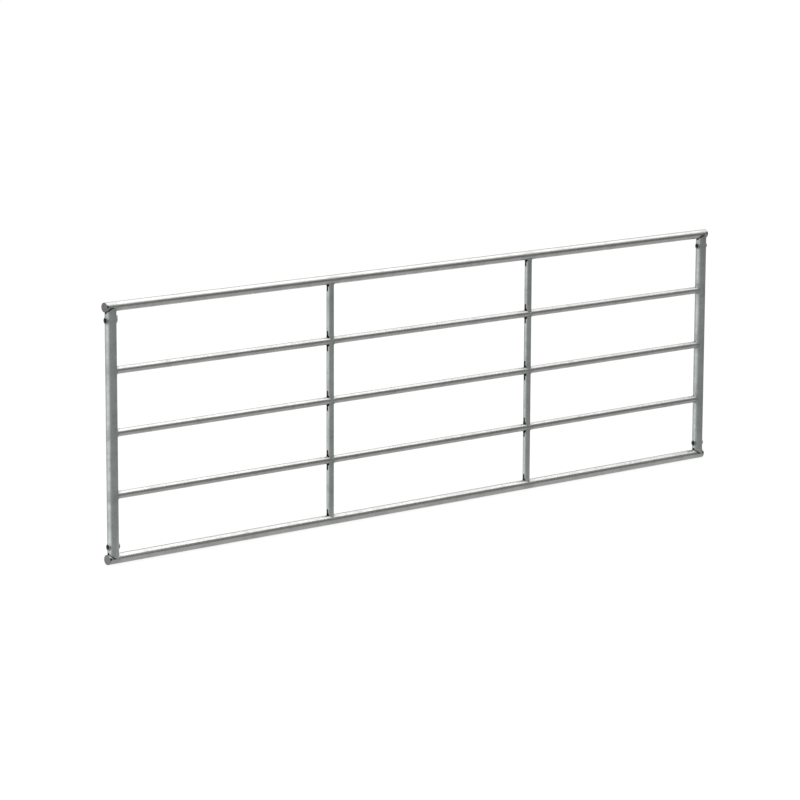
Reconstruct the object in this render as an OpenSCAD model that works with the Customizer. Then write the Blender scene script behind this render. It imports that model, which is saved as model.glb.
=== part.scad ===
// Five-rail livestock panel gate in hot-dip galvanised tube.
// X runs along the gate, Y through its thickness and Z up. The origin is on the ground
// line, under the middle of the gate. The front is the -Y side, and left is -X.

/* [Overall] */
// Length over the end caps of the top and bottom rails
overall_length = 3660; // [2700:1:4600]
// Height from the underside of the bottom rail to the top of the top rail
overall_height = 1144.5; // [950:0.5:1400]
// Left end upright to the left inner upright, axis to axis
first_brace = 1220; // [800:1:1250]
// Left end upright to the right inner upright, axis to axis
second_brace = 2436; // [1500:1:2490]

/* [Tubes] */
// Outside diameter of the top rail
top_od = 42.4; // [40:0.1:44.5]
// Outside diameter of the bottom rail
bottom_od = 44.5; // [42:0.1:44.5]
// Wall of the top and bottom rails
rail_wall = 2.6; // [2:0.1:3.6]
// Outside diameter of the mid rails and of the inner uprights
mid_od = 33.7; // [30:0.1:36]
// Wall of the mid rails and of the inner uprights
mid_wall = 2.6; // [2:0.1:3.2]
// Outside diameter of the end uprights
post_od = 50.8; // [50:0.1:54]
// Wall of the end uprights
post_wall = 2.9; // [2.6:0.1:3.6]

/* [Rail ends] */
// Length of top and bottom rail past the axis of the left end upright, with its cap
left_overhang = 33; // [29:0.5:60]
// Length of top and bottom rail past the axis of the right end upright, with its cap
right_overhang = 27; // [26.5:0.5:60]
// Thickness of the flat cap welded on each rail end
cap_thickness = 3; // [2:0.5:6]
// Bevel around a cap's outer edge
cap_bevel = 0.6; // [0.2:0.1:1.5]
// Radius of the saddle cut in the ends of the end uprights, more than the rails' radius
saddle_radius = 23.5; // [22.8:0.1:24]
// Radius of the wider cut in the saddles' -X half, which stays open
open_saddle_radius = 27; // [25:0.5:28]
// Gap that the wider cut leaves over the middle of the rail
open_saddle_gap = 0.8; // [0.3:0.1:1.5]

/* [Hinge sleeves] */
// Outside diameter of a hinge sleeve
sleeve_od = 26.9; // [25:0.1:30]
// Bore of a hinge sleeve
sleeve_bore = 22; // [17:0.5:22.5]
// Length of a hinge sleeve
sleeve_length = 56; // [54:1:80]
// Axis of the top rail down to the axis of the upper sleeves
hinge_drop = 57.5; // [54:0.5:110]
// Axis of the bottom rail up to the axis of the lower sleeves
hinge_rise = 55; // [54:0.5:110]

/* [Galvanising vents] */
// Width of the slot in each end of an inner upright piece
slot_width = 9; // [6:0.5:11]
// Reach of the slot from the rail that the piece stands on
slot_length = 30; // [18:1:40]
// Radius of the half-round notch at the slot's mouth
slot_notch_radius = 10; // [8:0.5:12.5]
// Radius of the vent in each end of an end upright
post_notch_radius = 6; // [4:0.5:8]
// How far the middle of that vent stands off the rail
post_notch_rise = 2.5; // [0:0.5:4]
// Radius of the half-round vent beside each cap
end_vent_radius = 7; // [4:0.5:8]
// Radius of the vent in the top of each mid rail
mid_vent_radius = 5.5; // [4:0.5:7]
// Turn of the vent beside each cap, upwards from straight ahead
rail_vent_angle = 14; // [0:1:30]
// Axis of an end upright to the vent in the top of a mid rail
mid_vent_reach = 37; // [33:1:60]

/* [Hidden] */
$fn = 96;
// How far a cutting shape passes the face that it cuts
past = 1;
// Slack around a sleeve in its cross hole
sleeve_slack = 0.15;
// The saddle's pointed tips stop this far short of the rail's axis
tip_trim = 3;

top_r = top_od / 2;
bottom_r = bottom_od / 2;
mid_r = mid_od / 2;
post_r = post_od / 2;
sleeve_r = sleeve_od / 2;

// Heights of the five rails. The four gaps between them are equal.
bottom_z = bottom_r;
top_z = overall_height - top_r;
clear_gap = (overall_height - top_od - bottom_od - 3 * mid_od) / 4;
lower_z = bottom_od + clear_gap + mid_r;
middle_z = lower_z + clear_gap + mid_od;
upper_z = middle_z + clear_gap + mid_od;

// Places along the gate
half_length = overall_length / 2;
rail_end_x = half_length - cap_thickness;
left_post_x = left_overhang - half_length;
right_post_x = half_length - right_overhang;
left_brace_x = left_post_x + first_brace;
right_brace_x = left_post_x + second_brace;

low_hinge_z = bottom_z + hinge_rise;
high_hinge_z = top_z - hinge_drop;

zinc = [0.66, 0.68, 0.69];
zinc_dull = [0.55, 0.57, 0.58];

// A solid bar along X, from x1 to x2
module bar_x(r, x1, x2) {
    translate([x1, 0, 0]) rotate([0, 90, 0]) cylinder(r = r, h = x2 - x1);
}

// A tube along X, from x1 to x2
module tube_x(r, wall, x1, x2) {
    difference() {
        bar_x(r, x1, x2);
        bar_x(r - wall, x1 - past, x2 + past);
    }
}

// A tube along Z, from z1 to z2
module tube_z(r, wall, z1, z2) {
    difference() {
        translate([0, 0, z1]) cylinder(r = r, h = z2 - z1);
        translate([0, 0, z1 - past]) cylinder(r = r - wall, h = z2 - z1 + 2 * past);
    }
}

// A round cutter that opens only the -X wall of an upright of radius r
module side_hole(r, radius, z) {
    translate([0, 0, z]) bar_x(radius, -r - past, 0);
}

// The same, drawn out into a slot from z1 up to z2 with round ends
module side_slot(r, radius, z1, z2) {
    side_hole(r, radius, z1);
    side_hole(r, radius, z2);
    translate([-r - past, -radius, z1]) cube([r + past, 2 * radius, z2 - z1]);
}

// Top and bottom rails: open tube with a half-round vent cut in the front of each end,
// which the cap then closes on one side
module outer_rail(r) {
    difference() {
        tube_x(r, rail_wall, -rail_end_x, rail_end_x);
        for (x = [-rail_end_x, rail_end_x])
            rotate([-rail_vent_angle, 0, 0]) translate([x, 0, 0]) rotate([90, 0, 0])
                cylinder(r = end_vent_radius, h = r + past);
    }
}

// Mid rails: the ends are saddled to the end uprights, and each has a vent in its top
module mid_rail() {
    difference() {
        tube_x(mid_r, mid_wall, left_post_x, right_post_x);
        for (x = [left_post_x, right_post_x])
            translate([x, 0, -post_r]) cylinder(r = post_r, h = post_od);
        for (x = [left_post_x + mid_vent_reach, right_post_x - mid_vent_reach])
            translate([x, 0, 0]) cylinder(r = mid_vent_radius, h = mid_r + past);
    }
}

// Cutter for the saddle over a rail of radius r. way is 1 at the top of an upright and -1
// at its bottom. The saddle touches the middle of the rail and its two tips rise beside it;
// its -X half stays clear of the rail.
module saddle(r, way) {
    translate([0, 0, way * (saddle_radius - r)]) bar_x(saddle_radius, -post_od, post_od);
    translate([0, 0, way * (open_saddle_radius - r - open_saddle_gap)])
        bar_x(open_saddle_radius, -post_od, 0);
}

// End uprights: saddled to the top and bottom rails, with a vent in each end that faces -X
// and opens into the saddle
module end_upright() {
    difference() {
        tube_z(post_r, post_wall, bottom_z + tip_trim, top_z - tip_trim);
        translate([0, 0, bottom_z]) saddle(bottom_r, -1);
        translate([0, 0, top_z]) saddle(top_r, 1);
        for (z = [bottom_z + bottom_r + post_notch_rise, top_z - top_r - post_notch_rise])
            side_hole(post_r, post_notch_radius, z);
        for (z = [low_hinge_z, high_hinge_z])
            translate([0, 0, z]) bar_x(sleeve_r + sleeve_slack, -post_od, post_od);
    }
}

// One piece of an inner upright, saddled to the rail under it and the rail over it. Each
// end has a keyhole vent in its -X wall.
module brace(low_z, low_r, high_z, high_r) {
    slot_end = slot_length - slot_width / 2;
    low_face = low_z + low_r;
    high_face = high_z - high_r;
    difference() {
        tube_z(mid_r, mid_wall, low_z, high_z);
        translate([0, 0, low_z]) bar_x(low_r, -mid_od, mid_od);
        translate([0, 0, high_z]) bar_x(high_r, -mid_od, mid_od);
        side_slot(mid_r, slot_width / 2, low_face, low_face + slot_end);
        side_slot(mid_r, slot_width / 2, high_face - slot_end, high_face);
        side_slot(mid_r, slot_notch_radius, low_face - mid_r, low_face);
        side_slot(mid_r, slot_notch_radius, high_face, high_face + mid_r);
    }
}

// Flat disc over the end of a rail of radius r, with a bevelled outer edge; it faces +X
module cap(r) {
    rotate([0, 90, 0]) rotate_extrude() polygon([
        [0, 0],
        [r, 0],
        [r, cap_thickness - cap_bevel],
        [r - cap_bevel, cap_thickness],
        [0, cap_thickness]
    ]);
}

// Plain bush that goes through both walls of an end upright
module hinge_sleeve() {
    tube_x(sleeve_r, (sleeve_od - sleeve_bore) / 2, -sleeve_length / 2, sleeve_length / 2);
}

module top_rail() {
    color(zinc) translate([0, 0, top_z]) outer_rail(top_r);
}
module upper_mid_rail() {
    color(zinc) translate([0, 0, upper_z]) mid_rail();
}
module middle_mid_rail() {
    color(zinc) translate([0, 0, middle_z]) mid_rail();
}
module lower_mid_rail() {
    color(zinc) translate([0, 0, lower_z]) mid_rail();
}
module bottom_rail() {
    color(zinc) translate([0, 0, bottom_z]) outer_rail(bottom_r);
}

module left_end_upright() {
    color(zinc) translate([left_post_x, 0, 0]) end_upright();
}
module right_end_upright() {
    color(zinc) translate([right_post_x, 0, 0]) end_upright();
}

// The four pieces of the inner upright at x, counted from the top
module brace_at(x, level) {
    color(zinc) translate([x, 0, 0]) {
        if (level == 1) brace(upper_z, mid_r, top_z, top_r);
        if (level == 2) brace(middle_z, mid_r, upper_z, mid_r);
        if (level == 3) brace(lower_z, mid_r, middle_z, mid_r);
        if (level == 4) brace(bottom_z, bottom_r, lower_z, mid_r);
    }
}
module left_brace_top() { brace_at(left_brace_x, 1); }
module left_brace_upper() { brace_at(left_brace_x, 2); }
module left_brace_lower() { brace_at(left_brace_x, 3); }
module left_brace_bottom() { brace_at(left_brace_x, 4); }
module right_brace_top() { brace_at(right_brace_x, 1); }
module right_brace_upper() { brace_at(right_brace_x, 2); }
module right_brace_lower() { brace_at(right_brace_x, 3); }
module right_brace_bottom() { brace_at(right_brace_x, 4); }

// side is -1 at the left end and 1 at the right end
module cap_at(side, z, r) {
    color(zinc_dull) translate([side * rail_end_x, 0, z])
        rotate([0, 0, side < 0 ? 180 : 0]) cap(r);
}
module cap_top_left() { cap_at(-1, top_z, top_r); }
module cap_top_right() { cap_at(1, top_z, top_r); }
module cap_bottom_left() { cap_at(-1, bottom_z, bottom_r); }
module cap_bottom_right() { cap_at(1, bottom_z, bottom_r); }

module sleeve_at(x, z) {
    color(zinc_dull) translate([x, 0, z]) hinge_sleeve();
}
module hinge_sleeve_top_left() { sleeve_at(left_post_x, high_hinge_z); }
module hinge_sleeve_top_right() { sleeve_at(right_post_x, high_hinge_z); }
module hinge_sleeve_bottom_left() { sleeve_at(left_post_x, low_hinge_z); }
module hinge_sleeve_bottom_right() { sleeve_at(right_post_x, low_hinge_z); }

top_rail();
upper_mid_rail();
middle_mid_rail();
lower_mid_rail();
bottom_rail();
left_end_upright();
right_end_upright();
left_brace_top();
left_brace_upper();
left_brace_lower();
left_brace_bottom();
right_brace_top();
right_brace_upper();
right_brace_lower();
right_brace_bottom();
cap_top_left();
cap_top_right();
cap_bottom_left();
cap_bottom_right();
hinge_sleeve_top_left();
hinge_sleeve_top_right();
hinge_sleeve_bottom_left();
hinge_sleeve_bottom_right();
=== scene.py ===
"""Looks for a five-rail livestock panel gate, welded from tube and hot-dip galvanised.

Metres. X runs along the gate, -Y is its front, Z is up, and left is -X. The tubes are the
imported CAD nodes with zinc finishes. The weld beads are pieces of their own.
"""
import math

import bpy
from mathutils import Matrix, Vector

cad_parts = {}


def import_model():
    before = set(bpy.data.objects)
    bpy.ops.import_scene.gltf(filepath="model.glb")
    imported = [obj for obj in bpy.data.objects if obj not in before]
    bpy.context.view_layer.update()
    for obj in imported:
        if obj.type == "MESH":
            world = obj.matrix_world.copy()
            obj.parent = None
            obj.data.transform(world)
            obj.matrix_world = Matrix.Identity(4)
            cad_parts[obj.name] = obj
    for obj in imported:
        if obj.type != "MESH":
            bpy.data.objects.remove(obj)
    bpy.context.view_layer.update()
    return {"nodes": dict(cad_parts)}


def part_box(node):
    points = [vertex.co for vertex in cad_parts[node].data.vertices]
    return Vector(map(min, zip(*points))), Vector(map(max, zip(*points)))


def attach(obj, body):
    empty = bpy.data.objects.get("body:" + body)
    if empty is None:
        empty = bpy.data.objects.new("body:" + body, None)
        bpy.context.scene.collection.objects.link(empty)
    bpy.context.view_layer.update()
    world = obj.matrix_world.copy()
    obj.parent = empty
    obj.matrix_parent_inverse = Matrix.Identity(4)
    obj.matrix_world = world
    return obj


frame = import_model()
nodes = frame["nodes"]

LEFT, RIGHT = -1, 1
LOWER, UPPER = -1, 1
ALONG_X, ALONG_Z = 0, 2
FULL_TURN = 2 * math.pi


# ---------------------------------------------------------------- node trees

class Wire:
    """An output socket. A sum written with it adds Math nodes to its tree."""

    def __init__(self, plan, socket):
        self.plan, self.socket = plan, socket

    def math(self, operation, *values):
        node = self.plan.add("ShaderNodeMath", {"operation": operation}, values)
        return node["Value"]

    def __add__(self, other):
        return self.math("ADD", self, other)

    __radd__ = __add__

    def __sub__(self, other):
        return self.math("SUBTRACT", self, other)

    def __rsub__(self, other):
        return self.math("SUBTRACT", other, self)

    def __mul__(self, other):
        return self.math("MULTIPLY", self, other)

    __rmul__ = __mul__

    def __truediv__(self, other):
        return self.math("DIVIDE", self, other)

    def __rtruediv__(self, other):
        return self.math("DIVIDE", other, self)

    def __pow__(self, other):
        return self.math("POWER", self, other)

    def __abs__(self):
        return self.math("ABSOLUTE", self)

    def low(self, other):
        return self.math("MINIMUM", self, other)

    def high(self, other):
        return self.math("MAXIMUM", self, other)

    def part(self):
        """What is left after the whole number."""
        return self.math("FRACT", self)

    def step(self, start, end):
        """0 up to start, 1 from end on, and smooth in between."""
        settings = {"interpolation_type": "SMOOTHSTEP"}
        inputs = {"Value": self, "From Min": start, "From Max": end}
        return self.plan.add("ShaderNodeMapRange", settings, inputs)["Result"]


class Added:
    """A node that was added. Its output sockets are read by name, as wires."""

    def __init__(self, plan, node):
        self.plan, self.node = plan, node

    def __getitem__(self, name):
        return Wire(self.plan, find_socket(self.node.outputs, name))


def find_socket(sockets, name):
    """The socket with that place, identifier or name."""
    if isinstance(name, int):
        return sockets[name]
    for socket in sockets:
        if socket.identifier == name:
            return socket
    return next(s for s in sockets if s.name == name and s.enabled)


class Plan:
    """A node tree that is being built, for a material, the world or a modifier."""

    def __init__(self, tree):
        self.tree = tree
        tree.nodes.clear()

    def add(self, kind, settings=None, inputs=None):
        """Adds a node: its settings first, then the values or wires of its sockets."""
        node = self.tree.nodes.new(kind)
        for name, value in (settings or {}).items():
            if name == "stops":
                self.set_stops(node.color_ramp.elements, value)
            else:
                setattr(node, name, value)
        named = inputs.items() if isinstance(inputs, dict) else enumerate(inputs or ())
        for name, value in named:
            self.feed(find_socket(node.inputs, name), value)
        return Added(self, node)

    def feed(self, socket, value):
        if isinstance(value, Wire):
            self.tree.links.new(value.socket, socket)
        else:
            socket.default_value = value

    @staticmethod
    def set_stops(elements, stops):
        while len(elements) < len(stops):
            elements.new(1.0)
        for element, (place, colour) in zip(elements, stops):
            element.position = place
            element.color = (*colour, 1.0)

    def ramp(self, value, stops):
        return self.add("ShaderNodeValToRGB", {"stops": stops}, {"Fac": value})["Color"]

    def noise(self, vector, scale, detail=3.0, roughness=0.55):
        inputs = {
            "Vector": vector, "Scale": scale, "Detail": detail, "Roughness": roughness,
        }
        return self.add("ShaderNodeTexNoise", None, inputs)["Fac"]

    def stretched(self, vector, scale):
        """The vector with each axis scaled on its own, for marks that run one way."""
        inputs = {"Vector": vector, "Scale": scale}
        return self.add("ShaderNodeMapping", {"vector_type": "POINT"}, inputs)["Vector"]

    def mix(self, factor, first, second):
        """Two colours mixed by the factor."""
        inputs = {"Factor_Float": factor, "A_Color": first, "B_Color": second}
        return self.add("ShaderNodeMix", {"data_type": "RGBA"}, inputs)["Result_Color"]

    def scaled(self, vector, factor):
        inputs = {"Vector": vector, "Scale": factor}
        return self.add("ShaderNodeVectorMath", {"operation": "SCALE"}, inputs)["Vector"]

    def vector_math(self, operation, *values):
        node = self.add("ShaderNodeVectorMath", {"operation": operation}, values)
        return node["Value" if operation == "DOT_PRODUCT" else "Vector"]


# ---------------------------------------------------------------- sizes from the frame

def middle(node):
    low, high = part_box(node)
    return (low + high) / 2


def radius_across(node, axis):
    low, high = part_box(node)
    return (high[axis] - low[axis]) / 2


RAILS = ["top_rail", "upper_mid_rail", "middle_mid_rail", "lower_mid_rail", "bottom_rail"]
MID_RAILS = RAILS[1:4]
RAIL_HEIGHT = {rail: middle(rail).z for rail in RAILS}
RAIL_RADIUS = {rail: radius_across(rail, ALONG_Z) for rail in RAILS}
END_UPRIGHTS = {LEFT: "left_end_upright", RIGHT: "right_end_upright"}
POST_RADIUS = radius_across("left_end_upright", ALONG_X)
POST_X = {side: middle(node).x for side, node in END_UPRIGHTS.items()}
BRACE_X = {side: middle(side + "_brace_upper").x for side in ("left", "right")}
BRACE_RADIUS = radius_across("left_brace_upper", ALONG_X)
SLEEVES = [name for name in nodes if name.startswith("hinge_sleeve")]
CAPS = [name for name in nodes if name.startswith("cap")]

# The saddles in the ends of the end uprights: the radius of their welded +X half, how far
# their tips stop short of the rail's axis, the radius of their open -X half, and the gap
# that it leaves over the middle of the rail
SADDLE_RADIUS = 0.0235
TIP_TRIM = 0.003
OPEN_SADDLE_RADIUS = 0.027
OPEN_SADDLE_GAP = 0.0008


# ---------------------------------------------------------------- finishes

RAIL_TONES = ((0.605, 0.607, 0.595), (0.50, 0.502, 0.49), (0.42, 0.42, 0.405))
UPRIGHT_TONES = ((0.65, 0.698, 0.688), (0.485, 0.521, 0.513), (0.39, 0.419, 0.411))
CAP_TONES = ((0.27, 0.27, 0.265), (0.22, 0.22, 0.215), (0.16, 0.16, 0.155))
SLEEVE_TONES = ((0.43, 0.445, 0.44), (0.34, 0.355, 0.35), (0.25, 0.26, 0.255))
WELD_TONES = ((0.44, 0.45, 0.44), (0.36, 0.37, 0.36), (0.27, 0.275, 0.27))
CAP_WELD_TONES = ((0.19, 0.19, 0.185), (0.14, 0.14, 0.135), (0.10, 0.10, 0.10))
# The colour of painted shade, where no light gets in
UNLIT = (0.045, 0.05, 0.05)

RAIL_ROUGHNESS = 0.27
UPRIGHT_ROUGHNESS = 0.30
CAP_ROUGHNESS = 0.42
SLEEVE_ROUGHNESS = 0.38
WELD_ROUGHNESS = 0.46
CAP_WELD_ROUGHNESS = 0.50

# How dark the painted shade is in the crevices, on the rails beside them, along the saddles'
# rims and in the inner uprights' slots, where 1 is the painted shade inside a rail
CREVICE_SHADE_DEPTH = 0.78
SHADE_BESIDE_POST_DEPTH = 0.55
RIM_SHADE_DEPTH = 0.75
SLOT_SHADE_DEPTH = 0.86
# How wide the painted shade beside an end upright is, beyond the upright
SHADE_BESIDE_POST_REACH = 0.014

WHITE = (1.0, 1.0, 1.0)
BLACK = (0.0, 0.0, 0.0)


def shade(colour, factor=1.0):
    return (*(channel * factor for channel in colour), 1.0)


def off_axis(split, along, centre):
    """How far the shaded point is from a tube's axis, which passes through the centre."""
    across = [letter for i, letter in enumerate("XYZ") if i != along]
    first, second = (split[letter] - at for letter, at in zip(across, centre))
    return (first * first + second * second) ** 0.5


def most(values):
    highest = values[0]
    for value in values[1:]:
        highest = highest.high(value)
    return highest


def in_tubes(split, along, tubes):
    """1 inside the tubes and on the edges of their holes. tubes lists (centre, radius)."""
    return most([
        1 - off_axis(split, along, centre).step(radius - 0.0009, radius - 0.0004)
        for centre, radius in tubes
    ])


def before(split, x):
    """1 on the -X side of x."""
    return 1 - (split["X"] - x).step(-0.001, 0.003)


def rail_painted_shade(split):
    """Painted shade on the outer rails where they go into the open half of a saddle, and a
    softer painted shade just beside it.
    """
    near = []
    for x in POST_X.values():
        distance = off_axis(split, ALONG_Z, (x, 0.0))
        # Painted shade in the gap under the saddle's open half, and a softer painted shade on
        # the rail beside the upright
        gap = 1 - distance.step(POST_RADIUS + 0.0008, POST_RADIUS + 0.0026)
        shade_beside_post = 1 - distance.step(POST_RADIUS, POST_RADIUS + SHADE_BESIDE_POST_REACH)
        near.append((gap * CREVICE_SHADE_DEPTH).high(shade_beside_post * SHADE_BESIDE_POST_DEPTH) * before(split, x))
    over = (split["Z"] - RAIL_HEIGHT["bottom_rail"]).step(0.001, 0.004)
    under = (RAIL_HEIGHT["top_rail"] - split["Z"]).step(0.001, 0.004)
    return most(near) * over * under


def saddle_rim_shade(split):
    """Painted shade: a dark line on the end uprights, along the rim of a saddle's open half.
    """
    lines = []
    for rail, way in (("bottom_rail", UPPER), ("top_rail", LOWER)):
        shift = OPEN_SADDLE_RADIUS - RAIL_RADIUS[rail] - OPEN_SADDLE_GAP
        depth = (OPEN_SADDLE_RADIUS**2 - split["Y"] * split["Y"]).high(0.0) ** 0.5 - shift
        past_rim = (split["Z"] - RAIL_HEIGHT[rail]) * way - depth
        lines.append(RIM_SHADE_DEPTH - past_rim.step(0.0003, 0.0016) * RIM_SHADE_DEPTH)
    open_halves = [
        before(split, x) * (split["X"] - x + 2 * POST_RADIUS).step(0.0, 0.01)
        for x in POST_X.values()
    ]
    return most(lines) * most(open_halves)


def galvanised(name, tones, roughness, along, spangle=95.0, lumps=1.0, heated=(), unlit=None):
    """Zinc from a hot dip: spangle, cloudy patches, runs along the tube and dull weld zones.

    tones are its bright, grey and dull colours. along is the index of the axis that the
    runs follow. spangle is the number of crystals in a metre, and lumps is how uneven the
    coat is. heated is (axis, places, reach): the welds along an axis. unlit gives 1 where
    no light gets in, from the shaded point's coordinates.
    """
    material = bpy.data.materials.new(name)
    material.use_nodes = True
    plan = Plan(material.node_tree)
    bright, grey, dull = tones
    place = plan.add("ShaderNodeTexCoord")["Object"]

    # Spangle: crystals of zinc, with soft and slightly wandering borders
    wander = plan.add(
        "ShaderNodeTexNoise", None, {"Vector": place, "Scale": 70.0, "Detail": 2.0})
    crystal_place = plan.vector_math("ADD", place, plan.scaled(wander["Color"], 0.006))
    crystals = plan.add(
        "ShaderNodeTexVoronoi", None, {"Vector": crystal_place, "Scale": spangle})
    crystal = plan.add("ShaderNodeSeparateColor", None, {"Color": crystals["Color"]})
    shine, tint = crystal["Red"], crystal["Green"]

    # Cloudy patches where the zinc dried duller, and runs where it drained
    cloud = plan.noise(place, 9.0, 5.0, 0.6).step(0.38, 0.66)
    blotch = plan.noise(place, 38.0, 4.0, 0.6).step(0.42, 0.70)
    scale = [110.0, 110.0, 110.0]
    scale[along] = 5.0
    run = plan.noise(plan.stretched(place, tuple(scale)), 1.0, 3.0, 0.5).step(0.45, 0.75)
    fine = plan.noise(place, 420.0, 3.0, 0.6)

    mottle = (cloud * 0.45 + blotch * 0.35 + shine * 0.40 + run * 0.18).low(1.0)
    colour = plan.mix(mottle, shade(bright), shade(grey))
    colour = plan.mix(tint * 0.12, colour, shade(bright, 1.06))
    darkness = (blotch * cloud) * 0.35
    rough = roughness + mottle * 0.08 + (fine - 0.5) * 0.08 + (shine - 0.5) * 0.04

    # Ash-grey zones beside the welds
    split = plan.add("ShaderNodeSeparateXYZ", None, {"Vector": place})
    if heated:
        axis, places, reach = heated
        where = split["XYZ"[axis]] + (plan.noise(place, 60.0, 3.0) - 0.5) * (reach * 0.9)
        zone = most([1 - abs(where - spot).step(reach * 0.25, reach) for spot in places])
        darkness = darkness + zone * 0.45
        rough = rough + zone * 0.08
    colour = plan.mix(darkness, colour, shade(dull))
    # Painted shade: the unlit colour goes into the base colour where no light gets in
    if unlit:
        shadow = unlit(split)
        colour = plan.mix(shadow, colour, shade(UNLIT))
        rough = rough + shadow * 0.35

    height = (
        plan.noise(place, 160.0, 2.0) * (0.28 * lumps)
        + plan.noise(place, 45.0, 2.0) * (0.55 * lumps)
        + fine * 0.08
        + run * 0.12
        + (1 - crystals["Distance"] * 60).high(0.0) * 0.04
    )
    bump = plan.add(
        "ShaderNodeBump", None, {"Strength": 0.55, "Distance": 0.0009, "Height": height})
    surface = plan.add("ShaderNodeBsdfPrincipled", None, {
        "Base Color": colour, "Metallic": 1.0, "Roughness": rough, "Normal": bump["Normal"],
    })
    plan.add("ShaderNodeOutputMaterial", None, {"Surface": surface["BSDF"]})
    return material


OUTER_TUBES = [((0.0, RAIL_HEIGHT[rail]), RAIL_RADIUS[rail]) for rail in (RAILS[0], RAILS[4])]
MID_TUBES = [((0.0, RAIL_HEIGHT[rail]), RAIL_RADIUS[rail]) for rail in MID_RAILS]
POST_TUBES = [((x, 0.0), POST_RADIUS) for x in POST_X.values()]
BRACE_TUBES = [((x, 0.0), BRACE_RADIUS) for x in BRACE_X.values()]

RAIL_WELDS = list(POST_X.values()) + list(BRACE_X.values())
UPRIGHT_WELDS = list(RAIL_HEIGHT.values())
FINISHES = {
    "outer_rail": galvanised(
        "zinc_on_outer_rails", RAIL_TONES, RAIL_ROUGHNESS, ALONG_X,
        heated=(ALONG_X, RAIL_WELDS, 0.05),
        unlit=lambda split: in_tubes(split, ALONG_X, OUTER_TUBES).high(rail_painted_shade(split))),
    "mid_rail": galvanised(
        "zinc_on_mid_rails", RAIL_TONES, RAIL_ROUGHNESS, ALONG_X, spangle=110.0,
        heated=(ALONG_X, RAIL_WELDS, 0.045),
        unlit=lambda split: in_tubes(split, ALONG_X, MID_TUBES)),
    "end_upright": galvanised(
        "zinc_on_end_uprights", UPRIGHT_TONES, UPRIGHT_ROUGHNESS, ALONG_Z,
        heated=(ALONG_Z, UPRIGHT_WELDS, 0.05),
        unlit=lambda split: in_tubes(split, ALONG_Z, POST_TUBES).high(saddle_rim_shade(split))),
    # Painted shade inside the inner uprights, which shows through their slots
    "inner_upright": galvanised(
        "zinc_on_inner_uprights", UPRIGHT_TONES, UPRIGHT_ROUGHNESS, ALONG_Z, spangle=110.0,
        heated=(ALONG_Z, UPRIGHT_WELDS, 0.04),
        unlit=lambda split: in_tubes(split, ALONG_Z, BRACE_TUBES) * SLOT_SHADE_DEPTH),
    "end_cap": galvanised("zinc_on_caps", CAP_TONES, CAP_ROUGHNESS, ALONG_Z, spangle=170.0),
    "hinge_sleeve": galvanised(
        "zinc_on_hinge_sleeves", SLEEVE_TONES, SLEEVE_ROUGHNESS, ALONG_X, spangle=160.0,
        lumps=1.3),
}
WELD_FINISH = galvanised(
    "zinc_on_welds", WELD_TONES, WELD_ROUGHNESS, ALONG_Z, spangle=260.0, lumps=0.5)
CAP_WELD_FINISH = galvanised(
    "zinc_on_cap_welds", CAP_WELD_TONES, CAP_WELD_ROUGHNESS, ALONG_Z, spangle=260.0, lumps=0.5)


def slot_of(node):
    if node in ("top_rail", "bottom_rail"):
        return "outer_rail"
    if node in MID_RAILS:
        return "mid_rail"
    if node in END_UPRIGHTS.values():
        return "end_upright"
    if node in SLEEVES:
        return "hinge_sleeve"
    if node in CAPS:
        return "end_cap"
    return "inner_upright"


for name, node in nodes.items():
    for place in node.material_slots:
        place.material = FINISHES[slot_of(name)]


# ---------------------------------------------------------------- weld beads

# Half the thickness of the beads
BRACE_BEAD = 0.0024
MID_RAIL_BEAD = 0.0027
SADDLE_BEAD = 0.0017
SLEEVE_BEAD = 0.0026
THIN_SLEEVE_BEAD = 0.0019
CAP_BEAD = 0.0011
# Where a hinge sleeve's bead is heaped up, and by how much: the sleeve and its side
HEAPS = {("hinge_sleeve_top_left", RIGHT): 0.0042}
# How far to each side of +X a seam goes round an inner upright, and round an end upright
BRACE_SEAM_TURN = math.radians(129)
SADDLE_SEAM_TURN = math.radians(80)
# How deep a cap's bead lies in from the rail's side and from the cap's face
CAP_BEAD_SINK = 0.00025
CAP_BEAD_INSET = 0.0002
SEAM_STEPS = 72
FINE_SEAM_STEPS = 80


def bead_point(place, first, second, girth):
    """The middle of a bead in the corner between two surfaces with those normals.

    In a square corner it stands out a little, and on flush surfaces it is mostly sunk.
    """
    lean = (first + second).normalized()
    rise = 0.30 - 0.95 * max(0.0, first.dot(second)) ** 2
    return place + lean * (girth * rise), lean, girth


def brace_seam(x, height, rail_radius, side, girth):
    """A piece of an inner upright on the rail under it, or under the rail over it.

    side is UPPER for the seam on top of the rail. The keyhole's mouth stays open.
    """
    points = []
    for i in range(SEAM_STEPS + 1):
        turn = BRACE_SEAM_TURN * (2 * i / SEAM_STEPS - 1)
        y = BRACE_RADIUS * math.sin(turn)
        rise = math.sqrt(max(rail_radius**2 - y**2, 0.0))
        place = Vector((x + BRACE_RADIUS * math.cos(turn), y, height + side * rise))
        on_brace = Vector((math.cos(turn), math.sin(turn), 0.0))
        on_rail = Vector((0.0, y, side * rise)).normalized()
        points.append(bead_point(place, on_brace, on_rail, girth))
    return points, False


def tube_into_post(x, height, radius, side, girth, heap=0.0):
    """A tube along X that ends in, or comes out of, the side of an end upright.

    heap is how much thicker the bead is over the tube than under it.
    """
    points = []
    for i in range(SEAM_STEPS):
        turn = FULL_TURN * i / SEAM_STEPS
        y = radius * math.cos(turn)
        reach = math.sqrt(POST_RADIUS**2 - y**2)
        place = Vector((x + side * reach, y, height + radius * math.sin(turn)))
        on_tube = Vector((0.0, math.cos(turn), math.sin(turn)))
        on_post = Vector((side * reach, y, 0.0)).normalized()
        here = girth + heap * max(0.0, math.sin(turn)) ** 2
        points.append(bead_point(place, on_tube, on_post, here))
    return points, True


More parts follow.
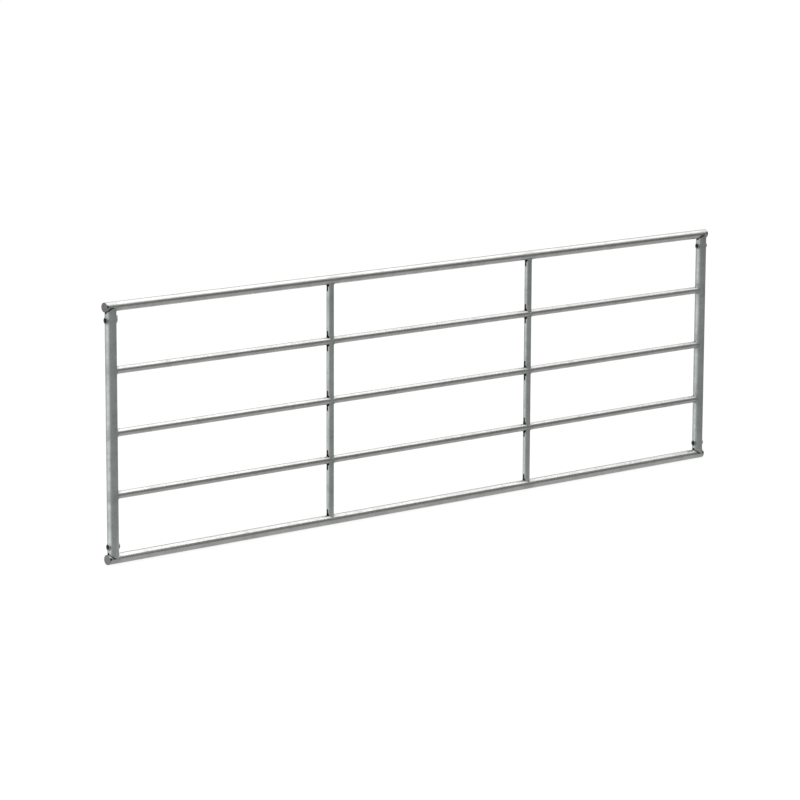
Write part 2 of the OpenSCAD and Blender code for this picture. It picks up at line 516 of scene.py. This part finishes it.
def saddle_seam(x, height, rail_radius, side, girth):
    """An end upright on an outer rail: welded round its +X half, up to its two tips.

    side is UPPER for the bottom rail, whose upright stands on it.
    """
    points = []
    shift = SADDLE_RADIUS - rail_radius
    for i in range(FINE_SEAM_STEPS + 1):
        turn = SADDLE_SEAM_TURN * (2 * i / FINE_SEAM_STEPS - 1)
        y = POST_RADIUS * math.sin(turn)
        cut = math.sqrt(max(SADDLE_RADIUS**2 - y**2, 0.0)) - shift
        from_axis = Vector((0.0, y, side * max(cut, TIP_TRIM))).normalized()
        here = min(girth, (POST_RADIUS - abs(from_axis.y) * rail_radius) / 1.25)
        ring = rail_radius + 0.25 * here
        out = Vector((math.cos(turn), 0.0, 0.0))
        place = Vector((
            x + (POST_RADIUS + 0.2 * here) * math.cos(turn),
            from_axis.y * ring,
            height + from_axis.z * ring,
        ))
        points.append((place, (out + from_axis).normalized(), here))
    return points, False


def cap_ring(x, height, radius, side, girth):
    """The weld that closes a rail's end: it rounds the edge of the cap."""
    centre = Vector((x - side * (girth + CAP_BEAD_INSET), 0.0, height))
    points = []
    for i in range(FINE_SEAM_STEPS):
        turn = FULL_TURN * i / FINE_SEAM_STEPS
        out = Vector((0.0, math.cos(turn), math.sin(turn)))
        place = centre + out * (radius - girth - CAP_BEAD_SINK)
        points.append((place, (out + Vector((side, 0.0, 0.0))).normalized(), girth))
    return points, True


def seam_lines(name, seams):
    """A mesh of lines along the seams, with how each point leans and how thick it is."""
    places, edges, leans, girths = [], [], [], []
    for points, closed in seams:
        first = len(places)
        count = len(points)
        for i, (place, lean, girth) in enumerate(points):
            places.append(place)
            leans.append(lean)
            from_end = count if closed else min(i, count - 1 - i)
            taper = min(1.0, 0.25 + 0.09 * from_end)
            girths.append(girth * taper)
        edges += [(first + i, first + i + 1) for i in range(count - 1)]
        if closed:
            edges.append((first + count - 1, first))
    mesh = bpy.data.meshes.new(name)
    mesh.from_pydata(places, edges, [])
    lean_attribute = mesh.attributes.new("lean", "FLOAT_VECTOR", "POINT")
    lean_attribute.data.foreach_set("vector", [c for lean in leans for c in lean])
    girth_attribute = mesh.attributes.new("girth", "FLOAT", "POINT")
    girth_attribute.data.foreach_set("value", girths)
    lines = bpy.data.objects.new(name, mesh)
    bpy.context.scene.collection.objects.link(lines)
    return lines


def bead_tree():
    """Geometry Nodes that sweep a rippled bead along each seam line."""
    tree = bpy.data.node_groups.new("weld_bead", "GeometryNodeTree")
    plan = Plan(tree)
    sockets = [
        ("Seams", "NodeSocketGeometry", None),
        ("Step Length", "NodeSocketFloat", 0.0008),
        ("Profile Sides", "NodeSocketInt", 10),
        ("Ripple Pitch", "NodeSocketFloat", 0.0028),
        ("Ripple Height", "NodeSocketFloat", 0.00016),
        ("Unevenness", "NodeSocketFloat", 0.0004),
        ("Seed", "NodeSocketFloat", 0.0),
        ("Finish", "NodeSocketMaterial", None),
    ]
    for name, kind, value in sockets:
        socket = tree.interface.new_socket(name, in_out="INPUT", socket_type=kind)
        if value is not None:
            socket.default_value = value
    tree.interface.new_socket("Beads", in_out="OUTPUT", socket_type="NodeSocketGeometry")
    given = plan.add("NodeGroupInput")

    lines = plan.add("GeometryNodeMeshToCurve", None, {"Mesh": given["Seams"]})["Curve"]
    lines = plan.add(
        "GeometryNodeResampleCurve", {"mode": "LENGTH"},
        {"Curve": lines, "Length": given["Step Length"]})["Curve"]
    along = plan.add("GeometryNodeSplineParameter")["Length"]
    lines = plan.add(
        "GeometryNodeStoreNamedAttribute", {"data_type": "FLOAT", "domain": "POINT"},
        {"Geometry": lines, "Name": "along", "Value": along})["Geometry"]
    girth = plan.add(
        "GeometryNodeInputNamedAttribute", {"data_type": "FLOAT"}, {"Name": "girth"})
    ring = plan.add(
        "GeometryNodeCurvePrimitiveCircle", {"mode": "RADIUS"},
        {"Resolution": given["Profile Sides"], "Radius": 1.0})["Curve"]
    bead = plan.add("GeometryNodeCurveToMesh", None, {
        "Curve": lines, "Profile Curve": ring, "Scale": girth["Attribute"],
        "Fill Caps": True,
    })["Mesh"]

    # Each ripple lags at the bead's two toes, which gives the crescents of a hand weld
    place = plan.add("GeometryNodeInputPosition")["Position"]
    seeded = plan.add("ShaderNodeCombineXYZ", None, {"X": given["Seed"]})["Vector"]
    place = plan.vector_math("ADD", place, seeded)
    normal = plan.add("GeometryNodeInputNormal")["Normal"]
    lean = plan.add(
        "GeometryNodeInputNamedAttribute", {"data_type": "FLOAT_VECTOR"}, {"Name": "lean"})
    crown = plan.vector_math("DOT_PRODUCT", normal, lean["Attribute"])
    stored = plan.add(
        "GeometryNodeInputNamedAttribute", {"data_type": "FLOAT"}, {"Name": "along"})
    uneven = plan.noise(place, 90.0, 2.0) - 0.5
    phase = stored["Attribute"] / given["Ripple Pitch"] + crown * 0.55 + uneven * 1.2
    wave = phase.part()
    ripple = (wave * (1 - wave) * 4) ** 0.6
    lift = ripple * given["Ripple Height"] + uneven * given["Unevenness"] * 2.0
    bead = plan.add(
        "GeometryNodeSetPosition", None,
        {"Geometry": bead, "Offset": plan.scaled(normal, lift)})["Geometry"]
    bead = plan.add(
        "GeometryNodeSetShadeSmooth", None,
        {"Geometry": bead, "Shade Smooth": True})["Geometry"]
    bead = plan.add("GeometryNodeRealizeInstances", None, {"Geometry": bead})["Geometry"]
    bead = plan.add(
        "GeometryNodeSetMaterial", None,
        {"Geometry": bead, "Material": given["Finish"]})["Geometry"]
    plan.add("NodeGroupOutput", None, {"Beads": bead})
    return tree


BEAD_TREE = bead_tree()


def set_input(modifier, name, value):
    """Sets a named input of a Geometry Nodes modifier by its identifier."""
    items = modifier.node_group.interface.items_tree
    identifier = next(i.identifier for i in items if i.name == name and i.in_out == "INPUT")
    modifier[identifier] = value


def lay_beads(name, seams, slot, finish=WELD_FINISH, **inputs):
    """Sweeps the seams into one plain mesh of weld beads, which rides on the gate."""
    lines = seam_lines(name + "_lines", seams)
    modifier = lines.modifiers.new("beads", "NODES")
    modifier.node_group = BEAD_TREE
    set_input(modifier, "Finish", finish)
    for key, value in inputs.items():
        set_input(modifier, key.replace("_", " "), value)
    graph = bpy.context.evaluated_depsgraph_get()
    mesh = bpy.data.meshes.new_from_object(lines.evaluated_get(graph))
    mesh.name = name
    for attribute in ("lean", "girth", "along"):
        found = mesh.attributes.get(attribute)
        if found:
            mesh.attributes.remove(found)
    piece = bpy.data.objects.new(name, mesh)
    bpy.context.scene.collection.objects.link(piece)
    old_lines = lines.data
    bpy.data.objects.remove(lines)
    bpy.data.meshes.remove(old_lines)
    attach(piece, "root")
    return piece


def sleeve_girth(side, way):
    """At the gate's right end the bead is thinner, so that the sleeve stands out of it."""
    return THIN_SLEEVE_BEAD if side == way == RIGHT else SLEEVE_BEAD


def brace_seams(side):
    seams = []
    for above, below in zip(RAILS, RAILS[1:]):
        for rail, way in ((above, LOWER), (below, UPPER)):
            seams.append(brace_seam(
                BRACE_X[side], RAIL_HEIGHT[rail], RAIL_RADIUS[rail], way, BRACE_BEAD))
    return seams


for seed, side in enumerate(("left", "right")):
    lay_beads(f"welds_{side}_inner_upright", brace_seams(side), "inner_upright",
              Seed=1.0 + seed)

for seed, (side, word) in enumerate(((LEFT, "left"), (RIGHT, "right"))):
    x = POST_X[side]
    lay_beads(f"welds_{word}_mid_rail_ends", [
        tube_into_post(x, RAIL_HEIGHT[rail], RAIL_RADIUS[rail], -side, MID_RAIL_BEAD)
        for rail in MID_RAILS
    ], "mid_rail", Seed=3.0 + seed)
    lay_beads(f"welds_{word}_end_upright", [
        saddle_seam(x, RAIL_HEIGHT[rail], RAIL_RADIUS[rail], way, SADDLE_BEAD)
        for rail, way in (("top_rail", LOWER), ("bottom_rail", UPPER))
    ], "end_upright", Seed=5.0 + seed)
    sleeves = [f"hinge_sleeve_{level}_{word}" for level in ("top", "bottom")]
    lay_beads(f"welds_{word}_hinge_sleeves", [
        tube_into_post(x, middle(sleeve).z, radius_across(sleeve, ALONG_Z), way,
                       sleeve_girth(side, way), HEAPS.get((sleeve, way), 0.0))
        for sleeve in sleeves for way in (LEFT, RIGHT)
    ], "hinge_sleeve", Seed=7.0 + seed)
    caps = [f"cap_{level}_{word}" for level in ("top", "bottom")]
    lay_beads(f"welds_{word}_caps", [
        cap_ring(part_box(cap)[side == RIGHT].x, middle(cap).z, radius_across(cap, ALONG_Z),
                 side, CAP_BEAD)
        for cap in caps
    ], "end_cap", CAP_WELD_FINISH, Seed=9.0 + seed, Ripple_Height=0.0001, Unevenness=0.0001)


# ---------------------------------------------------------------- studio

FLOOR_REACH = 45.0
COVE_RADIUS = 10.0
COVE_HEIGHT = 30.0
COVE_BENDS = 12
COVE_SEGMENTS = 72
FLOOR_PAINT = 0.09
FLOOR_GLOW = 0.875
# The glow of the floor under the gate, in its reflections: X and Y of two corners
GLOW_SPAN = ((-1.8, -0.19), (1.9, 0.0))
GLOW_LEVEL = 0.55
# A grey flag in front of the gate, in its reflections: X and Z of two corners, its Y, its
# level at the foot and at the top, and the heights between which the level changes
FLAG_SPAN = ((-0.7, 0.55), (3.2, 1.69))
FLAG_Y = -1.14
FLAG_LEVELS = (0.27, 0.17)
FLAG_CHANGE = (0.85, 1.0)

# The surround: which way its soft side and back lights come from, and how much brighter
# they and the ceiling are
SIDE_WAY = (-0.96, 0.28, 0.0)
BACK_WAY = (0.2, 0.97, 0.0)
CEILING_GAIN = 1.35
SIDE_GAIN = 2.1
BACK_GAIN = 0.9
KEY_LEVEL = 0.35
KEY_SPREAD = math.radians(70)
KEY_TILT = (math.radians(12), math.radians(-8), 0.0)

CAMERA_PLACE = (-10.5507, -11.9203, 3.4578)
CAMERA_TURN = math.radians(41.08)
CAMERA_TIP = math.radians(10.506)
CAMERA_ROLL = math.radians(0.2225)
CAMERA_LENS = 157.66
CAMERA_SENSOR = 36.0


def studio_object(name, finish, places, faces):
    """A mesh of the studio, and the empty plan of its only material."""
    mesh = bpy.data.meshes.new(name)
    mesh.from_pydata(places, [], faces)
    thing = bpy.data.objects.new(name, mesh)
    bpy.context.scene.collection.objects.link(thing)
    material = bpy.data.materials.new(finish)
    material.use_nodes = True
    mesh.materials.append(material)
    return thing, Plan(material.node_tree)


def studio_cove():
    """A round floor whose rim turns up into a wall, so that no edge of it shows."""
    profile = [(0.0, 0.0), (FLOOR_REACH * 0.3, 0.0), (FLOOR_REACH, 0.0)]
    for i in range(1, COVE_BENDS + 1):
        turn = FULL_TURN / 4 * i / COVE_BENDS
        profile.append((
            FLOOR_REACH + COVE_RADIUS * math.sin(turn),
            COVE_RADIUS * (1 - math.cos(turn)),
        ))
    profile.append((FLOOR_REACH + COVE_RADIUS, COVE_HEIGHT))
    places, faces = [Vector((0.0, 0.0, 0.0))], []
    for radius, height in profile[1:]:
        for j in range(COVE_SEGMENTS):
            turn = FULL_TURN * j / COVE_SEGMENTS
            places.append(Vector((radius * math.cos(turn), radius * math.sin(turn), height)))
    for j in range(COVE_SEGMENTS):
        faces.append((0, 1 + j, 1 + (j + 1) % COVE_SEGMENTS))
    for ring in range(len(profile) - 2):
        for j in range(COVE_SEGMENTS):
            a = 1 + ring * COVE_SEGMENTS + j
            b = 1 + ring * COVE_SEGMENTS + (j + 1) % COVE_SEGMENTS
            faces.append((a, a + COVE_SEGMENTS, b + COVE_SEGMENTS, b))
    cove, plan = studio_object("studio_cove", "pale_floor_paint", places, faces)
    cove.data.polygons.foreach_set("use_smooth", [True] * len(cove.data.polygons))
    paint = plan.add("ShaderNodeBsdfDiffuse", None, {"Color": shade(WHITE, FLOOR_PAINT)})
    glow = plan.add("ShaderNodeEmission", None, {"Strength": FLOOR_GLOW})
    surface = plan.add("ShaderNodeAddShader", None, [paint["BSDF"], glow["Emission"]])
    plan.add("ShaderNodeOutputMaterial", None, {"Surface": surface["Shader"]})
    # The tubes take their reflections from the soft surround, and not from the floor
    cove.visible_glossy = False
    cove.visible_shadow = False


def reflected_card(name, corners, low_level, high_level, change):
    """A flat light that shows in the tubes only, never to the camera.

    Its level changes from low to high between the two heights of change.
    """
    card, plan = studio_object(name, name + "_light", corners, [(0, 1, 2, 3)])
    place = plan.add("ShaderNodeTexCoord")["Object"]
    height = plan.add("ShaderNodeSeparateXYZ", None, {"Vector": place})["Z"]
    level = low_level + height.step(*change) * (high_level - low_level)
    colour = plan.mix(level, shade(BLACK), shade(WHITE))
    light = plan.add("ShaderNodeEmission", None, {"Color": colour})
    plan.add("ShaderNodeOutputMaterial", None, {"Surface": light["Emission"]})
    card.visible_camera = False
    card.visible_diffuse = False
    card.visible_shadow = False


def reflected_cards():
    """What is near enough to the gate to look different from its low and its high rails."""
    (west, south), (east, north) = GLOW_SPAN
    reflected_card("floor_glow", [
        (west, south, 0.0), (east, south, 0.0), (east, north, 0.0), (west, north, 0.0),
    ], GLOW_LEVEL, GLOW_LEVEL, (0.0, 1.0))
    (west, low), (east, high) = FLAG_SPAN
    reflected_card("front_flag", [
        (west, FLAG_Y, low), (east, FLAG_Y, low), (east, FLAG_Y, high), (west, FLAG_Y, high),
    ], *FLAG_LEVELS, FLAG_CHANGE)


def soft_surround():
    """Plain studio light: a bright ceiling, a grey horizon and a softer floor below."""
    world = bpy.data.worlds.new("soft_surround")
    bpy.context.scene.world = world
    world.use_nodes = True
    plan = Plan(world.node_tree)
    way = plan.add("ShaderNodeTexCoord")["Generated"]
    height = plan.add("ShaderNodeSeparateXYZ", None, {"Vector": way})["Z"]

    def grey(level):
        return (level, level, level)

    # Stops run from straight down at 0 to straight up at 1; the horizon is at 0.5
    levels = plan.ramp(height * 0.5 + 0.5, [
        (0.00, grey(0.44)),
        (0.25, grey(0.57)),
        (0.40, grey(0.30)),
        (0.49, grey(0.165)),
        (0.60, grey(0.19)),
        (0.67, grey(0.28)),
        (0.75, grey(0.78)),
        (0.85, grey(1.0)),
    ])
    ceiling = height.step(0.55, 0.78)
    side_light = plan.vector_math("DOT_PRODUCT", way, SIDE_WAY)
    side_light = side_light.step(0.62, 0.97) * (1 - height.step(0.1, 0.4))
    back_light = plan.vector_math("DOT_PRODUCT", way, BACK_WAY)
    back_light = back_light.step(0.1, 0.8) * (1 - height.step(0.1, 0.4))
    strength = 1 + ceiling * CEILING_GAIN + side_light * SIDE_GAIN + back_light * BACK_GAIN
    light = plan.add("ShaderNodeBackground", None, {"Color": levels, "Strength": strength})
    plan.add("ShaderNodeOutputWorld", None, {"Surface": light["Background"]})


def key_light():
    """A very wide overhead light, for faint soft shadows. It is even over the whole floor."""
    data = bpy.data.lights.new("key_light", "SUN")
    data.energy = KEY_LEVEL
    data.angle = KEY_SPREAD
    light = bpy.data.objects.new("key_light", data)
    light.rotation_euler = KEY_TILT
    bpy.context.scene.collection.objects.link(light)


def studio_camera():
    """From the left of the front, a little above: turned, tipped down and nearly level."""
    turn, tip, roll = CAMERA_TURN, CAMERA_TIP, CAMERA_ROLL
    ahead = Vector((
        math.sin(turn) * math.cos(tip), math.cos(turn) * math.cos(tip), -math.sin(tip)))
    level_right = Vector((math.cos(turn), -math.sin(turn), 0.0))
    level_up = level_right.cross(ahead)
    right = math.cos(roll) * level_right + math.sin(roll) * level_up
    up = math.cos(roll) * level_up - math.sin(roll) * level_right
    data = bpy.data.cameras.new("studio_camera")
    data.sensor_width, data.lens = CAMERA_SENSOR, CAMERA_LENS
    data.clip_start, data.clip_end = 0.1, 300.0
    camera = bpy.data.objects.new("studio_camera", data)
    pointing = Matrix((right, up, -ahead)).transposed().to_4x4()
    camera.matrix_world = Matrix.Translation(CAMERA_PLACE) @ pointing
    bpy.context.scene.collection.objects.link(camera)
    bpy.context.scene.camera = camera


studio_cove()
reflected_cards()
soft_surround()
key_light()
studio_camera()
bpy.context.scene.view_settings.view_transform = "Standard"
